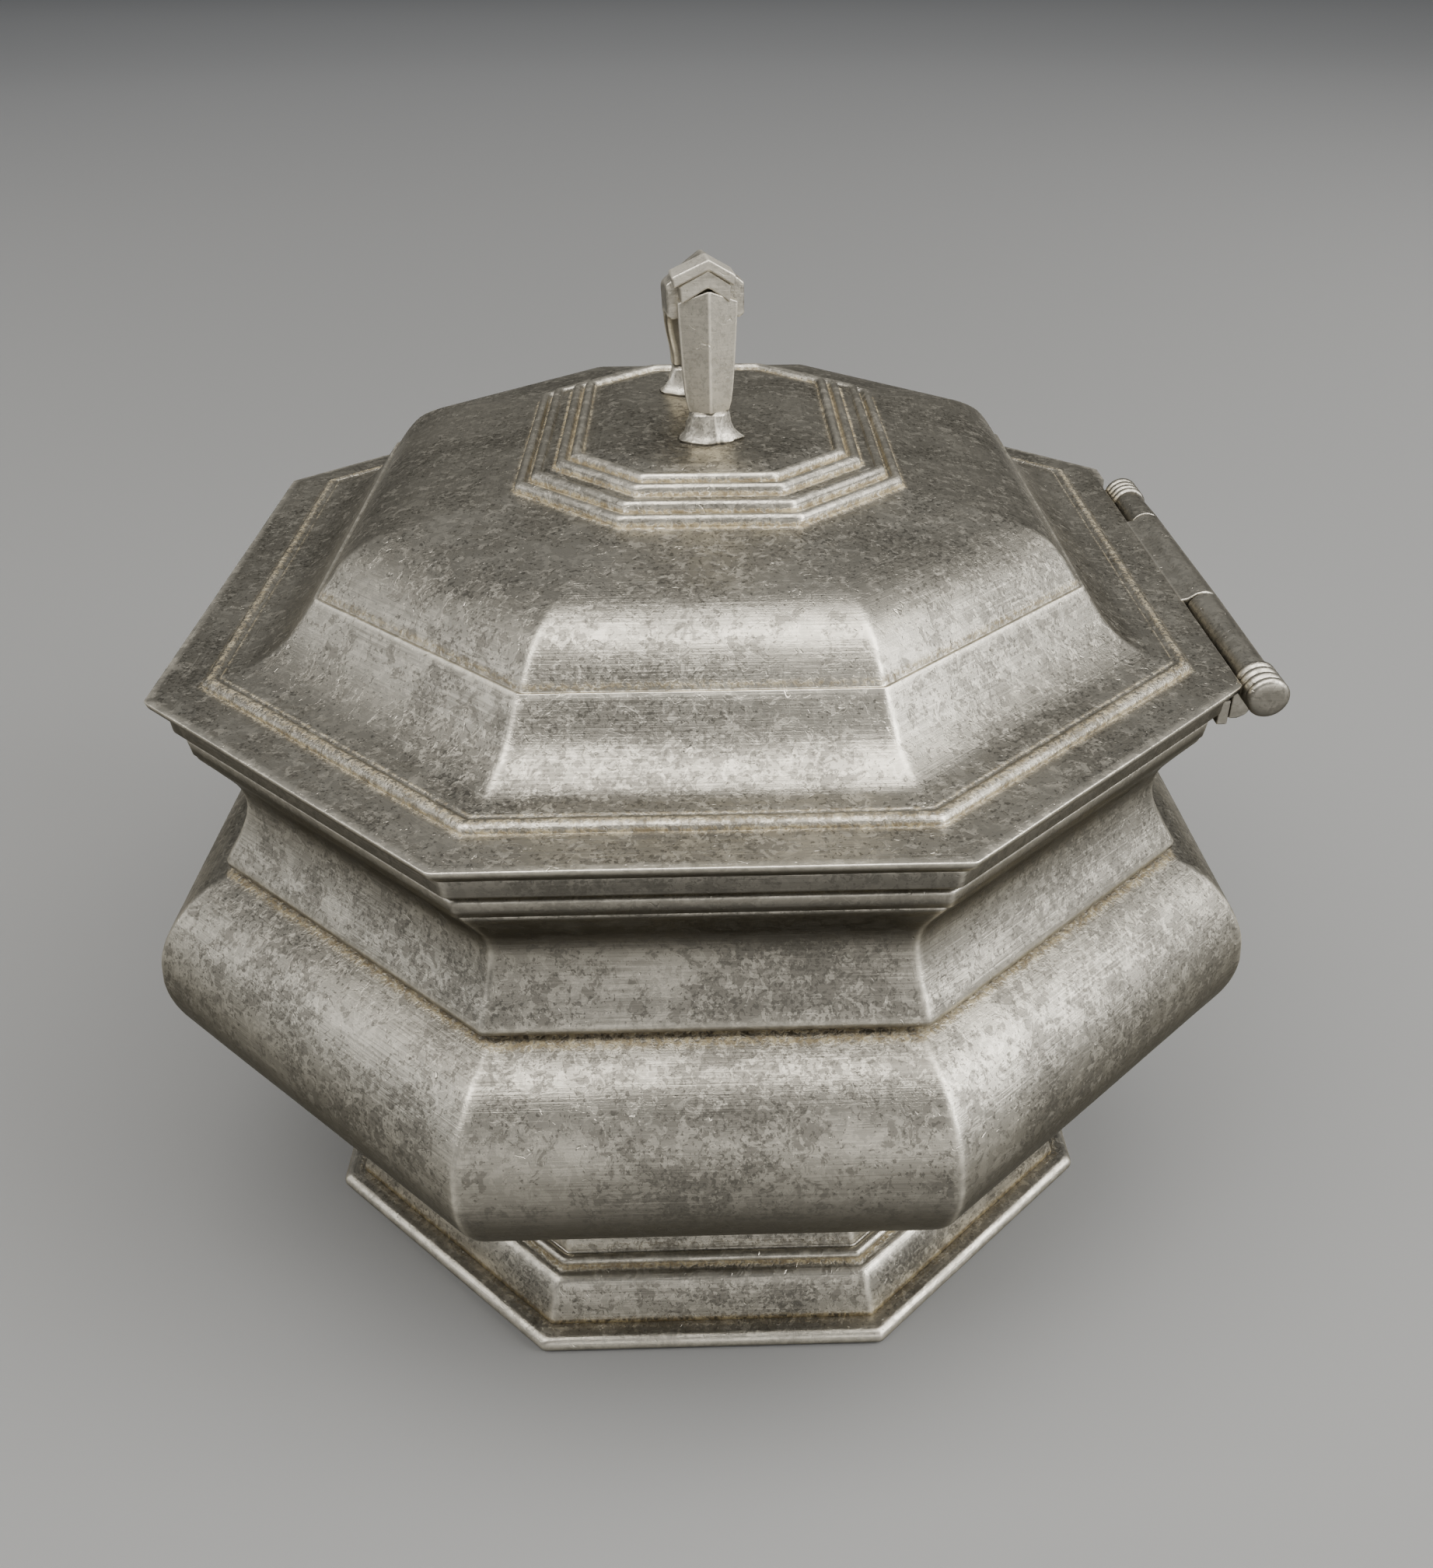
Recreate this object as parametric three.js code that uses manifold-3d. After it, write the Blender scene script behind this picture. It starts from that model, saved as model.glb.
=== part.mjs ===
// Octagonal pewter sugar bowl with a hinged, domed lid and a loop finial.
// Millimetres, +Z up, origin on the table under the middle of the bowl. The lid's hinge runs along +X.
import * as THREE from "three";
import { mergeVertices } from "three/addons/utils/BufferGeometryUtils.js";
import Module from "manifold-3d";

const wasm = await Module();
wasm.setup();

// ---- Driving dimensions -------------------------------------------------------------------------
const HALF_WIDTH = 62; // lid edge, centre to the two long sides (X)
const HALF_DEPTH = 68; // lid edge, centre to the two short sides (Y)
const SHORT_SIDE = 50.6; // length of the lid's front and back sides
const LONG_SIDE = 69.2; // length of the lid's left and right sides
const WALL = 1.8; // cast wall

const FOOT_WIRE_TOP = 2.4; // top of the bead under the foot
const FOOT_TOP = 26.5; // foot meets the underside of the bowl
const SEAM = 59; // bowl meets its collar
const COLLAR_TOP = 75.2; // collar meets the rim frame
const LID_GAP = 0.3; // clearance between rim and lid
const LID_UNDER = 81; // underside of the lid's flange
const LID_EDGE = 83; // sharp upper edge of the lid's flange
const PANEL_TOP = 103.8; // flat in the middle of the lid

const HINGE_X = 63.6;
const HINGE_Z = 82;
const BARREL_RADIUS = 2.2;
const PIN_RADIUS = 0.9;
const PIN_CLEARANCE = 0.08;
const LID_KNUCKLE_HALF = 13; // half length of the middle knuckle
const KNUCKLE_GAP = 0.3;
const HINGE_FRONT = 37; // middle of the bowl to the front end of the barrel
const HINGE_BACK = 27; // and to its back end, which stops short
const HINGE_NOTCH_X = 60.9; // the flange is cut back to here along the hinge

const DOME_LEAN = 1.4; // the hand-raised dome sits this far off centre, towards the hinge
const FINIAL_X = 0.4;
const FINIAL_TURN = 7; // degrees the loop is turned from square
const FINIAL_Y = 9.6; // middle of the loop to each of its feet
const LEG_BOTTOM = 107.6;
const EAVES_TOP = 123; // the lip of the hood at its sides
const HOOD_TOP = 125.1;

const PEWTER = { color: 0x8d8a82, roughness: 0.42, metalness: 1 };

// ---- Octagons -----------------------------------------------------------------------------------
// The four slanting sides are given by their unit normal and their distance from the centre.
const slant = new THREE.Vector2(HALF_DEPTH - LONG_SIDE / 2, HALF_WIDTH - SHORT_SIDE / 2).normalize();
const SLANT_DISTANCE = slant.dot(new THREE.Vector2(HALF_WIDTH, LONG_SIDE / 2));

// Corners of the lid's octagon moved inwards by inset on every side, counterclockwise from above.
function octagon(inset) {
  const a = HALF_WIDTH - inset;
  const b = HALF_DEPTH - inset;
  const c = SLANT_DISTANCE - inset;
  const k = (c - slant.y * b) / slant.x;
  const m = (c - slant.x * a) / slant.y;
  return [[k, -b], [a, -m], [a, m], [k, b], [-k, b], [-a, m], [-a, -m], [-k, -b]];
}

// Turns rings of equal length, and the middles of their end caps, into one closed geometry.
function skin(rings, caps) {
  const count = rings[0].length;
  const points = rings.flat();
  const faces = [];
  const quad = (r, s) => {
    for (let i = 0; i < count; i++) {
      const j = (i + 1) % count;
      const [p, q, t, u] = [r * count + i, r * count + j, s * count + j, s * count + i];
      faces.push(p, q, t, p, t, u);
    }
  };
  for (let r = 0; r + 1 < rings.length; r++) quad(r, r + 1);
  if (caps) {
    const last = (rings.length - 1) * count;
    points.push(caps[0], caps[1]);
    for (let i = 0; i < count; i++) {
      const j = (i + 1) % count;
      faces.push(points.length - 2, j, i, points.length - 1, last + i, last + j);
    }
  } else quad(rings.length - 1, 0);
  let volume = 0;
  for (let f = 0; f < faces.length; f += 3) {
    const [p, q, r] = [0, 1, 2].map((n) => new THREE.Vector3(...points[faces[f + n]]));
    volume += p.dot(q.cross(r));
  }
  if (volume < 0) faces.reverse();
  const geometry = new THREE.BufferGeometry();
  geometry.setAttribute("position", new THREE.Float32BufferAttribute(points.flat(), 3));
  geometry.setIndex(faces);
  return geometry;
}

const ringAt = ([inset, z]) => octagon(inset).map(([x, y]) => [x, y, z]);

// The lid's rings drift towards the hinge from the flange up to the panel.
function leaningRing([inset, z]) {
  const drift = DOME_LEAN * THREE.MathUtils.smoothstep(inset, 10, 40);
  return ringAt([inset, z]).map(([x, y]) => [x + drift, y, z]);
}

// A closed outline of [inset, z] points taken round the octagon: a frame with a hole in it.
const octagonFrame = (outline) => skin(outline.map(ringAt), null);

// An open outline whose two ends are closed across the middle: a dish or a lid.
function octagonDish(outline, ring = ringAt) {
  const middle = ([, z]) => [0, 0, z];
  return skin(outline.map(ring), [middle(outline[0]), middle(outline.at(-1))]);
}

// A smooth curve through [inset, z] points.
function curve(points, pieces) {
  const spline = new THREE.SplineCurve(points.map(([d, z]) => new THREE.Vector2(d, z)));
  return spline.getPoints(pieces).map((p) => [p.x, p.y]);
}

// Part of an ellipse in [inset, z], from one angle to another in degrees.
function ellipse([d, z], [rd, rz], from, to, pieces) {
  const arc = new THREE.EllipseCurve(d, z, rd, rz, (from * Math.PI) / 180, (to * Math.PI) / 180, from > to);
  return arc.getPoints(pieces).map((p) => [p.x, p.y]);
}

// ---- Solids for cutting and joining -------------------------------------------------------------
function solid(geometry) {
  const g = geometry.clone();
  g.deleteAttribute("normal");
  g.deleteAttribute("uv");
  const merged = mergeVertices(g, 1e-4);
  return new wasm.Manifold(
    new wasm.Mesh({
      numProp: 3,
      vertProperties: merged.attributes.position.array,
      triVerts: new Uint32Array(merged.index.array),
    }),
  );
}

function geometryOf(manifold) {
  const mesh = manifold.getMesh();
  const geometry = new THREE.BufferGeometry();
  geometry.setAttribute("position", new THREE.BufferAttribute(mesh.vertProperties, 3));
  geometry.setIndex(new THREE.BufferAttribute(mesh.triVerts, 1));
  return geometry;
}

function box([x0, x1], [y0, y1], [z0, z1]) {
  const geometry = new THREE.BoxGeometry(x1 - x0, y1 - y0, z1 - z0);
  return geometry.translate((x0 + x1) / 2, (y0 + y1) / 2, (z0 + z1) / 2);
}

// A turned piece on the hinge's axis, from [radius, y] points.
function turned(outline) {
  const profile = outline.map(([r, y]) => new THREE.Vector2(r, y));
  return new THREE.LatheGeometry(profile, 24).translate(HINGE_X, 0, HINGE_Z);
}

// ---- Foot ---------------------------------------------------------------------------------------
function footWire() {
  const bead = ellipse([10.6, 1.2], [1.2, 1.2], 250, 90, 6);
  return octagonFrame([[13.6, 0], [11.4, 0], ...bead, [13.6, FOOT_WIRE_TOP]]);
}

const STEM = [[16.7, 8.8], [17.9, 11.2], [19.1, 15.5], [19.5, 20.5], [19.2, FOOT_TOP]];

function foot() {
  const slope = [[12, FOOT_WIRE_TOP], [12.3, 3.1], [14.3, 7.6], [14.8, 8.1], [16, 8.3]];
  const inside = [[21, FOOT_TOP], [21.2, 19], [19.8, 11], [17.8, 7], [15.9, 6.3], [13.6, FOOT_WIRE_TOP]];
  return octagonFrame([...slope, ...curve(STEM, 8), ...inside]);
}

// ---- Bowl ---------------------------------------------------------------------------------------
const OUTER = [[5.6, SEAM], [3.3, 57.7], [0.8, 56.2], [-1.4, 54.2], [-3.6, 51.2], [-4.9, 48], [-5.3, 44.6]];
const INNER = [[7.3, SEAM], [4.6, 56.8], [2, 55], [-0.5, 52.6], [-2.3, 49.6], [-3.2, 47], [-3.5, 44.6]];

// A bulging wall from the seam through its widest line and round under it to a flat bottom.
function bulge(upper, reach, bottom, pieces) {
  const [inset, z] = upper.at(-1);
  const above = curve(upper, pieces);
  return [...above, ...ellipse([inset + reach, z], [reach, z - bottom], 180, 270, pieces).slice(1)];
}

function bowl() {
  const outside = bulge(OUTER, 24.3, FOOT_TOP, 12);
  const inside = bulge(INNER, 22.5, FOOT_TOP + WALL, 9);
  return octagonDish([...outside.reverse(), ...inside]);
}

const NECK = [[4.4, 60.2], [4.9, 61.1], [6.3, 63.2], [7.3, 65.6], [7.6, 67.4], [7.2, 69.4], [5.9, 71.5]];

function collar() {
  const outside = [[5.6, SEAM], [4.7, 59.4], ...curve([...NECK, [3.8, 74.4]], 12), [3.5, COLLAR_TOP]];
  const inside = curve([[5.9, COLLAR_TOP], [7.8, 72.3], [9.1, 69.8], [9.4, 67.4], [9, 64.8], [7.5, SEAM]], 9);
  return octagonFrame([...outside, ...inside]);
}

function rimFrame() {
  const top = LID_UNDER - LID_GAP;
  const outside = [[3.3, COLLAR_TOP], [3.1, 77.2], [4.1, 77.6], [4.1, 78], [2.1, 78.4], [1.9, top]];
  const inside = [[10.2, top], [10.2, 79], [6.2, COLLAR_TOP]];
  return octagonFrame([...outside, ...inside]);
}

// ---- Lid ----------------------------------------------------------------------------------------
const COVE = [[7.8, 84], [11.2, 84.6], [14.8, 87], [18.2, 91.3]];
const DOME = [[18.2, 91.3], [20, 93.9], [22, 95.8], [24.3, 97.1], [27, 98], [33, 99.1], [39, 100.1]];
const PANEL_RIDGES = [40.1, 42, 44.8, 46.5]; // insets of the four raised lines
const PANEL_STEPS = [100.3, 101.1, 102.1, 102.9]; // height of the ground at each of them
const RIDGE = 0.6; // height of a raised line
const RIDGE_HALF = 0.6; // half its width

function ridges() {
  return PANEL_RIDGES.flatMap((inset, i) => {
    const ground = PANEL_STEPS[i];
    const next = PANEL_STEPS[i + 1] ?? 103;
    return [[inset - RIDGE_HALF, ground], [inset, ground + RIDGE], [inset + RIDGE_HALF, (ground + next) / 2]];
  });
}

function lidShell() {
  const top = [[0, LID_UNDER], [0, LID_EDGE], [6.2, LID_EDGE + 0.2], [6.8, LID_EDGE + 0.9]];
  const outside = [...top, ...curve(COVE, 7), ...curve(DOME, 12).slice(1), ...ridges(), [50, PANEL_TOP]];
  const inside = [
    [50, 102], [39.5, 98.3], [27.2, 96.1], [24.9, 95.2], [22.8, 93], [20.6, 90], [16.6, 85.4], [13.9, 82.8],
    [13, LID_UNDER],
  ];
  const flange = solid(octagonDish([...outside.reverse(), ...inside.reverse()], leaningRing));
  const notch = box([HINGE_NOTCH_X, 70], [-HINGE_FRONT - 0.5, HINGE_BACK + 0.5], [70, 90]);
  return geometryOf(flange.subtract(solid(notch)));
}

// The strip under the lid that drops into the mouth and centres it.
const lidBezel = () => octagonFrame([[10.9, 77.2], [10.9, LID_UNDER], [12.4, LID_UNDER], [12.4, 77.2]]);

// ---- Finial -------------------------------------------------------------------------------------
// A strap's section across X, from its half width and the depth of its back, edges and ridge.
function strapSection(half, back, edge, ridge) {
  const [flat, eased] = [half - 0.5, back + 0.4];
  return [[-flat, back], [flat, back], [half, eased], [half, edge], [0, ridge], [-half, edge], [-half, eased]];
}

// The front leg: a strap with a ridge down its face, widening upwards, its top cut to a gable.
function finialLeg() {
  const rings = [0, 0.2, 0.4, 0.6, 0.8, 1].map((rise) => {
    const half = THREE.MathUtils.lerp(2.35, 3.45, Math.sqrt(rise));
    const section = strapSection(half, -1.1, 0.9, 1.7);
    const top = (x) => 119.8 + 1.5 * (1 - Math.abs(x) / 3.45);
    return section.map(([x, n]) => [x, -FINIAL_Y - n, THREE.MathUtils.lerp(LEG_BOTTOM, top(x), rise)]);
  });
  return skin(rings, [[0, -FINIAL_Y, LEG_BOTTOM], [0, -FINIAL_Y, 120.6]]);
}

// The hood: a thick gabled bar from over the front leg, sloping back and thinning into the back leg.
const HOOD_PATH = [[-8.1, 120.9], [-4, 120.9], [0, 119.8], [4, 117.4], [7.2, 114.2], [9, 111], [9.6, LEG_BOTTOM]];
const HOOD_END = [4.5, -3.4, 0.4, 4.2];
const BACK_LEG_TOP = [3.5, -1.2, 0.7, 1.5];
const BACK_LEG_BOTTOM = [2.35, -1.2, 0.7, 1.5];

function finialHood() {
  const path = new THREE.CatmullRomCurve3(HOOD_PATH.map(([y, z]) => new THREE.Vector3(0, y, z)));
  const steps = 18;
  const rings = Array.from({ length: steps + 1 }, (_, i) => {
    const share = i / steps;
    const thinning = THREE.MathUtils.smoothstep(share, 0.25, 0.7);
    const narrowing = THREE.MathUtils.smoothstep(share, 0.65, 1);
    const section = HOOD_END.map((value, n) => {
      const leg = THREE.MathUtils.lerp(BACK_LEG_TOP[n], BACK_LEG_BOTTOM[n], narrowing);
      return THREE.MathUtils.lerp(value, leg, thinning);
    });
    const [at, run] = [path.getPointAt(share), path.getTangentAt(share)];
    return strapSection(...section).map(([x, n]) => [x, at.y - run.z * n, at.z + run.y * n]);
  });
  const bar = skin(rings, [[0, HOOD_PATH[0][0], HOOD_PATH[0][1]], [0, FINIAL_Y, LEG_BOTTOM]]);
  return geometryOf(solid(bar).add(solid(hoodLip())));
}

// The hood's gabled lip, which overhangs the front leg.
function hoodLip() {
  const outline = [[-3.6, 120.2], [-3.6, EAVES_TOP], [0, HOOD_TOP], [3.6, EAVES_TOP], [3.6, 120.2], [0, 121.7]];
  const shape = new THREE.Shape(outline.map(([x, z]) => new THREE.Vector2(x, z)));
  const lip = new THREE.ExtrudeGeometry(shape, { depth: 3.6, bevelEnabled: false });
  return lip.rotateX(Math.PI / 2).translate(0, -7.9, 0);
}

// The flared foot under one leg of the loop: [height above the panel, half width, half depth].
function finialFoot(side) {
  const tiers = [[0, 4.1, 3], [0.5, 3.9, 2.8], [1.6, 3, 2.2], [2.8, 2.5, 1.8], [3.5, 2.4, 1.7]];
  const rings = tiers.map(([h, w, d]) => {
    const quarter = [[w, d / 2], [w / 2, d], [-w / 2, d], [-w, d / 2]];
    const corners = [...quarter, ...quarter.map(([x, y]) => [-x, -y])];
    return corners.map(([x, y]) => [x, side * FINIAL_Y + y, PANEL_TOP + h]);
  });
  const middles = [tiers[0], tiers.at(-1)].map(([h]) => [0, side * FINIAL_Y, PANEL_TOP + h]);
  return skin(rings, middles);
}

// ---- Hinge --------------------------------------------------------------------------------------
const BORE = PIN_RADIUS + PIN_CLEARANCE;
const RING_COUNT = 4; // turned rings at the free end of each outer knuckle
const RING_PITCH = 1.3;
const PLATE_X = [60.2, 61.5]; // the plate that carries the outer knuckles

// An outer knuckle: barrel, turned rings at its free end, and the web that joins it to the plate.
function bowlKnuckle(end) {
  const side = Math.sign(end);
  const near = side * (LID_KNUCKLE_HALF + KNUCKLE_GAP);
  const rings = [];
  for (let i = 0; i < RING_COUNT; i++) {
    const y = end - side * RING_PITCH * (RING_COUNT - i);
    rings.push([BARREL_RADIUS - 0.15, y], [BARREL_RADIUS + 0.25, y + (side * RING_PITCH) / 2]);
  }
  const free = [[BARREL_RADIUS - 0.15, end], [BORE, end], [BORE, near]];
  const outline = [[BORE, near], [BARREL_RADIUS, near], ...rings, ...free];
  const barrel = solid(turned(side > 0 ? outline : outline.reverse()));
  const length = [near, end - side * RING_COUNT * RING_PITCH].sort((p, q) => p - q);
  const web = solid(box([PLATE_X[1] + 0.1, 64.2], length, [76.6, 80.6]));
  const bore = solid(turned([[0, -40], [BORE, -40], [BORE, 40], [0, 40]]));
  return geometryOf(barrel.add(web.subtract(bore)));
}

// The middle knuckle with the leaf that joins it to the lid's flange.
function lidKnuckle() {
  const half = LID_KNUCKLE_HALF;
  const outer = [[BORE, -half], [BARREL_RADIUS, -half], [BARREL_RADIUS, half]];
  const barrel = solid(turned([...outer, [BORE, half], [BORE, -half]]));
  const leaf = solid(box([HINGE_NOTCH_X + 0.1, HINGE_X], [-half, half], [LID_UNDER, LID_EDGE]));
  const bore = solid(turned([[0, -40], [BORE, -40], [BORE, 40], [0, 40]]));
  return geometryOf(barrel.add(leaf.subtract(bore)));
}

function hingePin() {
  const [front, back] = [0.4 - HINGE_FRONT, HINGE_BACK - 0.4];
  return turned([[0, front], [PIN_RADIUS, front], [PIN_RADIUS, back], [0, back]]);
}

const hingePlate = () => box(PLATE_X, [5 - HINGE_FRONT, HINGE_BACK - 5], [75.9, 79.2]);

// ---- Assembly -----------------------------------------------------------------------------------
const part = new THREE.Group();

function add(group, name, geometry) {
  const mesh = new THREE.Mesh(geometry, new THREE.MeshStandardMaterial(PEWTER));
  mesh.name = name;
  group.add(mesh);
}

const base = new THREE.Group();
add(base, "foot_wire", footWire());
add(base, "foot", foot());
add(base, "bowl", bowl());
add(base, "collar", collar());
add(base, "rim_frame", rimFrame());
add(base, "hinge_plate", hingePlate());
add(base, "hinge_knuckle_front", bowlKnuckle(-HINGE_FRONT));
add(base, "hinge_knuckle_back", bowlKnuckle(HINGE_BACK));
add(base, "hinge_pin", hingePin());

const lid = new THREE.Group();
add(lid, "lid_shell", lidShell());
add(lid, "lid_bezel", lidBezel());
add(lid, "hinge_knuckle_lid", lidKnuckle());

const finial = new THREE.Group();
finial.position.x = FINIAL_X;
finial.rotation.z = THREE.MathUtils.degToRad(FINIAL_TURN);
add(finial, "finial_leg", finialLeg());
add(finial, "finial_hood", finialHood());
add(finial, "finial_foot_front", finialFoot(-1));
add(finial, "finial_foot_back", finialFoot(1));
lid.add(finial);

part.add(base, lid);
export default part;
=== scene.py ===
"""Looks for an octagonal pewter sugar bowl with a hinged lid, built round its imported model.

Most pieces are outlines of [inset, z] points in millimetres, taken round one octagon: the inset is how far
each side has moved in from the lid's edge. The origin is on the table under the middle of the bowl.
"""
import math

import bpy
from mathutils import Matrix, Vector, noise


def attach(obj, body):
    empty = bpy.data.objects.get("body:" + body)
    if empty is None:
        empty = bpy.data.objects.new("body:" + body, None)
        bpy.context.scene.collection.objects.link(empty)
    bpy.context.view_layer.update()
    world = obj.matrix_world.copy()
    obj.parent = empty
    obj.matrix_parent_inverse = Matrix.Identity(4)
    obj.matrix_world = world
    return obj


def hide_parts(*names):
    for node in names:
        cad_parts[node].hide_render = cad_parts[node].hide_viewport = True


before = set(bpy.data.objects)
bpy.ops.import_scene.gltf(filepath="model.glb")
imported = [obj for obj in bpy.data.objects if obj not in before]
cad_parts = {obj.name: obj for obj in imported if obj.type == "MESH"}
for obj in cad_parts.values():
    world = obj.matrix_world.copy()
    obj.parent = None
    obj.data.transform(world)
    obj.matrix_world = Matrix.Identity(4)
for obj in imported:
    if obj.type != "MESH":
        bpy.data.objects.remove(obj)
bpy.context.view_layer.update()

# Sizes are in millimetres. First the lid's edge, which every inset is measured from.
MM = 0.001
HALF_WIDTH, HALF_DEPTH = 62, 68
SHORT_SIDE, LONG_SIDE = 50.6, 69.2
NEAR_CENTRE = 60

# The hinge: its axis, its barrels, how far they reach along Y, and the flange's edge beside them.
HINGE_X, HINGE_Z = 63.6, 82
BARREL, BORE, TURNED_RING, GROOVE = 2.2, 1.0, 2.43, 2.0
LID_KNUCKLE_HALF, HINGE_FRONT, HINGE_BACK = 13, 37, 27
KNUCKLE_GAP, RING_PITCH, RINGS = 0.3, 1.3, 4
NOTCH_X = 60.9

# The rim and the lid. The dome leans towards the hinge, and takes that up between two insets.
RIM_TOP = 80.7
DOME_LEAN, LEAN_STARTS, LEAN_FULL = 1.4, 10, 40
PANEL_TOP = 103.8

# The loop on the lid: it stands off centre and a little turned, on two legs.
FINIAL_X, FINIAL_TURN, FINIAL_Y = 0.4, math.radians(7), 9.6
LEG_BOTTOM, LEG_TOP, LEG_PEAK, LEG_SUNK = 107.6, 119.8, 1.5, 0.4
LEG_HALF_TOP = 3.45

# How the walls are uneven: the sizes of the broad dents, the small dents and the sag of the edges.
BROAD_DENT, SMALL_DENT, SAG = 17, 5, 21

# The mitres' bright line, wear with a painted highlight, shows on walls, not on level faces, and is this
# wide.
LEVEL, STEEP, MITRE_LINE = 0.2, 0.6, 0.4

# Corners sharper than EDGE_ANGLE get a bright mark of wear and painted highlight. Those sharper than
# BEVEL_ANGLE are rounded.
EDGE_ANGLE, BEVEL_ANGLE = math.radians(32), math.radians(18)
EDGE_WEAR_AND_HIGHLIGHT = 0.9


# ---- Outlines -----------------------------------------------------------------------------------
def spline(points, step=0.9):
    """Points along a smooth curve through [inset, z] points, about step apart."""
    p = [Vector(q) for q in points]
    p = [2 * p[0] - p[1], *p, 2 * p[-1] - p[-2]]
    out = []
    for a, b, c, d in zip(p, p[1:], p[2:], p[3:]):
        n = max(1, round((c - b).length / step))
        for i in range(n):
            t = i / n
            out.append(
                0.5 * (2 * b + (c - a) * t + (2 * a - 5 * b + 4 * c - d) * t**2
                       + (3 * b - a - 3 * c + d) * t**3)
            )
    return [tuple(q) for q in [*out, p[-2]]]


def arc(centre, radii, start, end, n):
    """Part of an ellipse in [inset, z], from one angle to another in degrees."""
    turns = [math.radians(start + (end - start) * i / n) for i in range(n + 1)]
    return [(centre[0] + radii[0] * math.cos(t), centre[1] + radii[1] * math.sin(t)) for t in turns]


def eased(points, radius, n=3):
    """The same outline with its corners rounded off by about radius. Both ends stay."""
    out = [points[0]]
    for a, b, c in zip(points, points[1:], points[2:]):
        a, b, c = Vector(a), Vector(b), Vector(c)
        reach = min(radius, (a - b).length * 0.45, (c - b).length * 0.45)
        p = b + (a - b).normalized() * reach
        q = b + (c - b).normalized() * reach
        for i in range(n + 1):
            t = i / n
            out.append(tuple(p * (1 - t) ** 2 + 2 * b * t * (1 - t) + q * t**2))
    return [*out, points[-1]]


def filled(outline, step=1.1):
    """The same open outline with points added along its long straight stretches."""
    out = []
    for a, b in zip(outline, outline[1:]):
        n = max(1, math.ceil(math.dist(a, b) / step))
        out += [(a[0] + (b[0] - a[0]) * i / n, a[1] + (b[1] - a[1]) * i / n) for i in range(n)]
    return [*out, outline[-1]]


def smoothstep(value, low, high):
    t = min(1, max(0, (value - low) / (high - low)))
    return t * t * (3 - 2 * t)


# ---- Taking an outline round the octagon --------------------------------------------------------
slant = Vector((HALF_DEPTH - LONG_SIDE / 2, HALF_WIDTH - SHORT_SIDE / 2)).normalized()
SLANT_DISTANCE = slant.dot(Vector((HALF_WIDTH, LONG_SIDE / 2)))
# Where the points of one side stand along it, closer together near its corners.
ALONG = [0.012, 0.03, 0.06, 0.11, 0.17, 0.24, 0.32, 0.41, 0.5]
ALONG = ALONG + [1 - t for t in ALONG[-2::-1]]


def octagon(inset, pinch=0):
    """The corners of one octagon. Its front and back sides are shorter by pinch at each end."""
    a, b, c = HALF_WIDTH - inset, HALF_DEPTH - inset, SLANT_DISTANCE - inset
    k = (c - slant.y * b) / slant.x - pinch
    m = (c - slant.x * a) / slant.y
    corners = [(k, -b), (a, -m), (a, m), (k, b), (-k, b), (-a, m), (-a, -m), (-k, -b)]
    return [Vector(p) for p in corners]


def ring(inset, mitre, pinch=0):
    """Points round one octagon with its corners eased, each with its distance to a corner."""
    corners = octagon(inset, pinch)
    out = []
    for i, b in enumerate(corners):
        a, c = corners[i - 1], corners[(i + 1) % 8]
        p = b + (a - b).normalized() * mitre
        q = b + (c - b).normalized() * mitre
        for t in (0, 0.25, 0.5, 0.75, 1):
            out.append((p * (1 - t) ** 2 + 2 * b * t * (1 - t) + q * t**2, mitre * abs(2 * t - 1)))
        end = c + (b - c).normalized() * mitre
        for t in ALONG:
            point = q.lerp(end, t)
            out.append((point, min((point - b).length, (point - c).length)))
    return out


def make(name, verts, faces, body, nodes, material, marks):
    """One piece with its marks for the material, riding on a body in place of CAD nodes."""
    mesh = bpy.data.meshes.new(name)
    mesh.from_pydata([Vector(v) * MM for v in verts], [], faces)
    mesh.validate()
    mesh.update()
    for p in mesh.polygons:
        p.use_smooth = True
    for key, values in marks.items():
        mesh.attributes.new(key, "FLOAT", "POINT").data.foreach_set("value", values)
    piece = bpy.data.objects.new(name, mesh)
    bpy.context.collection.objects.link(piece)
    mesh.materials.append(material)
    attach(piece, body)
    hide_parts(*nodes)
    return piece


def evened(piece):
    """Keeps wide faces flat-looking next to the narrow ones that round their edges."""
    piece.modifiers.new("even", "WEIGHTED_NORMAL").weight = 60


def near(point, spots):
    """How strongly a point of the outline is marked by spots of (inset, z, radius, strength)."""
    found = 0
    for d, z, radius, strength in spots:
        far = math.hypot(point[0] - d, point[1] - z) / radius
        found = max(found, strength * math.exp(-far * far))
    return found


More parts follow.
